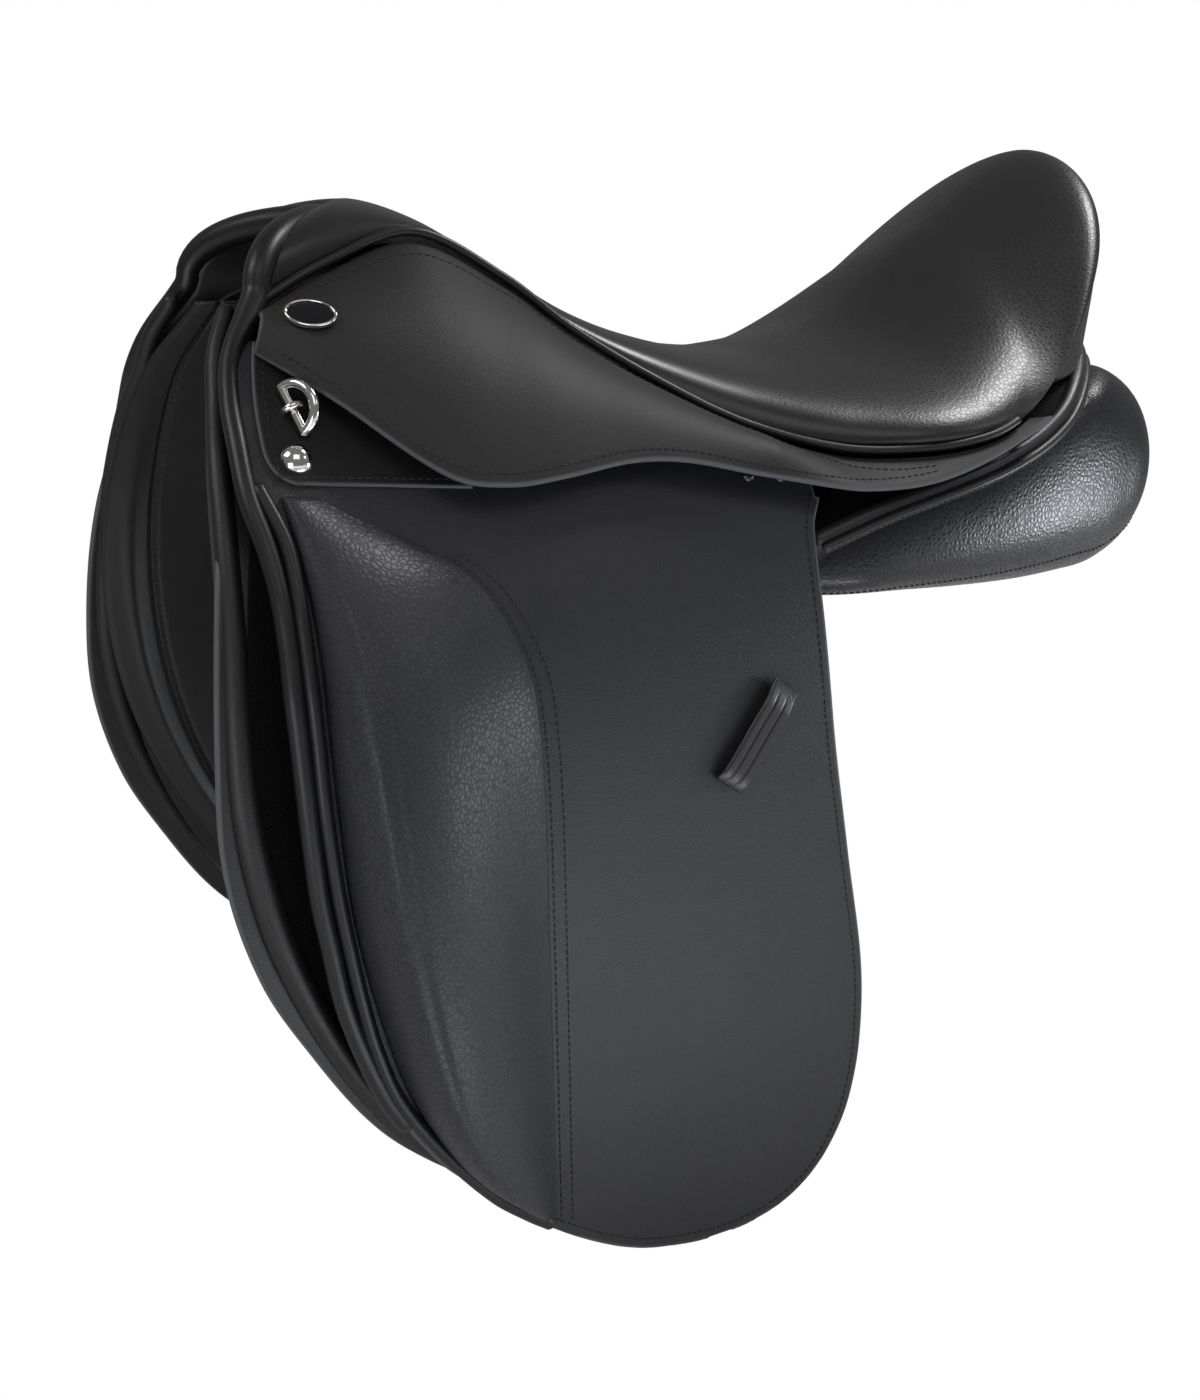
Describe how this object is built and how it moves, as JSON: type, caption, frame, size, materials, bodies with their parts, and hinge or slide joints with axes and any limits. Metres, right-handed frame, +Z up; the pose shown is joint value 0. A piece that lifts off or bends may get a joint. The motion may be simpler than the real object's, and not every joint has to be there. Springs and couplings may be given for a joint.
{
  "type": "dressage saddle",
  "caption": "Black leather dressage saddle with deep seat, long straight flaps with thigh blocks, flocked panels, dee rings, stirrup bars and girth straps.",
  "frame": {"origin": "on the centre plane inside the tree, under the lowest part of the seat and 45 mm above the lining of the gullet, over the middle of the two panels", "axes": "+X forward to the pommel, +Y to the near (left) side, +Z up"},
  "size_m": [0.5176, 0.3582, 0.483],
  "materials": {
    "seat_leather": "satin smooth",
    "flap_leather": "matt fine grain",
    "grain_leather": "satin pebbled grain",
    "hook_fabric": "fuzzy",
    "webbing": "woven",
    "foam": "open cell",
    "tree": "moulded",
    "spring_steel": "rolled",
    "forged_steel": "polished forging",
    "nickel": "polished",
    "black_nail": "japanned"
  },
  "bodies": {
    "saddle": {"tree_frame": "tree", "tree_spring_near": "spring_steel", "tree_spring_off": "spring_steel", "seat_webs": "webbing", "seat_foam": "foam", "seat_cover": "seat_leather", "seat_welt_near": "seat_leather", "seat_welt_off": "seat_leather", "cantle_roll": "seat_leather", "pommel_roll": "flap_leather", "panel_near": "grain_leather", "panel_off": "grain_leather", "panel_roll_near": "grain_leather", "panel_roll_off": "grain_leather", "gullet_lining": "flap_leather", "panel_front_near": "flap_leather", "panel_front_off": "flap_leather", "sweat_flap_near": "flap_leather", "sweat_flap_off": "flap_leather", "hook_strip_near": "hook_fabric", "hook_strip_off": "hook_fabric", "girth_web_near": "webbing", "girth_web_off": "webbing", "flap_head_near": "flap_leather", "flap_head_off": "flap_leather", "flap_tacks_near": "black_nail", "flap_tacks_off": "black_nail", "stirrup_bar_near": "forged_steel", "stirrup_bar_off": "forged_steel", "skirt_near": "seat_leather", "skirt_off": "seat_leather", "badge_near": "nickel", "badge_off": "nickel", "dee_staple_near": "nickel", "dee_staple_off": "nickel", "dome_nail_near": "nickel", "dome_nail_off": "nickel"},
    "flap_near_body": {"flap_near": "flap_leather", "thigh_block_near": "grain_leather", "strap_keeper_near": "flap_leather"},
    "flap_off_body": {"flap_off": "flap_leather", "thigh_block_off": "grain_leather", "strap_keeper_off": "flap_leather"},
    "skirt_lobe_near_body": {"skirt_lobe_near": "seat_leather"},
    "dee_ring_near_body": {"dee_ring_near": "nickel"},
    "bar_catch_near_body": {"bar_catch_near": "forged_steel"},
    "billet_front_near_body": {"billet_front_near": "flap_leather"},
    "billet_rear_near_body": {"billet_rear_near": "flap_leather"},
    "skirt_lobe_off_body": {"skirt_lobe_off": "seat_leather"},
    "dee_ring_off_body": {"dee_ring_off": "nickel"},
    "bar_catch_off_body": {"bar_catch_off": "forged_steel"},
    "billet_front_off_body": {"billet_front_off": "flap_leather"},
    "billet_rear_off_body": {"billet_rear_off": "flap_leather"}
  },
  "joints": [
    {"name": "flap_lift_near", "type": "hinge", "parent": "saddle", "child": "flap_near_body", "pos_m": [0.1175, 0.111, 0.003], "axis": [0.9947, -0.0565, 0.0858], "range_deg": [0, 70]},
    {"name": "flap_lift_off", "type": "hinge", "parent": "saddle", "child": "flap_off_body", "pos_m": [0.1175, -0.111, 0.003], "axis": [-0.9947, -0.0565, -0.0858], "range_deg": [0, 70]},
    {"name": "skirt_lift_near", "type": "hinge", "parent": "saddle", "child": "skirt_lobe_near_body", "pos_m": [0.1375, 0.1181, 0.03742], "axis": [0.9545, -0.2011, 0.2204], "range_deg": [0, 60]},
    {"name": "skirt_lift_off", "type": "hinge", "parent": "saddle", "child": "skirt_lobe_off_body", "pos_m": [0.1375, -0.1181, 0.03742], "axis": [-0.9545, -0.2011, -0.2204], "range_deg": [0, 60]},
    {"name": "dee_swing_near", "type": "hinge", "parent": "saddle", "child": "dee_ring_near_body", "pos_m": [0.213, 0.09087, 0.03943], "axis": [0.2149, -0.5659, 0.796], "range_deg": [-60, 8]},
    {"name": "dee_swing_off", "type": "hinge", "parent": "saddle", "child": "dee_ring_off_body", "pos_m": [0.213, -0.09087, 0.03943], "axis": [-0.2149, -0.5659, -0.796], "range_deg": [-60, 8]},
    {"name": "bar_catch_turn_near", "type": "hinge", "parent": "saddle", "child": "bar_catch_near_body", "pos_m": [0.105, 0.08258, 0.04552], "axis": [0, -0.6066, 0.795], "range_deg": [0, 80]},
    {"name": "bar_catch_turn_off", "type": "hinge", "parent": "saddle", "child": "bar_catch_off_body", "pos_m": [0.105, -0.08258, 0.04552], "axis": [0, -0.6066, -0.795], "range_deg": [0, 80]},
    {"name": "billet_front_swing_near", "type": "hinge", "parent": "saddle", "child": "billet_front_near_body", "pos_m": [0.128, 0.12862, -0.104], "axis": [0, 0.9996, 0.028], "range_deg": [-6, 6]},
    {"name": "billet_front_swing_off", "type": "hinge", "parent": "saddle", "child": "billet_front_off_body", "pos_m": [0.128, -0.12862, -0.104], "axis": [0, 0.9996, -0.028], "range_deg": [-6, 6]},
    {"name": "billet_rear_swing_near", "type": "hinge", "parent": "saddle", "child": "billet_rear_near_body", "pos_m": [0.062, 0.12862, -0.104], "axis": [0, 0.9996, 0.028], "range_deg": [-6, 6]},
    {"name": "billet_rear_swing_off", "type": "hinge", "parent": "saddle", "child": "billet_rear_off_body", "pos_m": [0.062, -0.12862, -0.104], "axis": [0, 0.9996, -0.028], "range_deg": [-6, 6]}
  ]
}
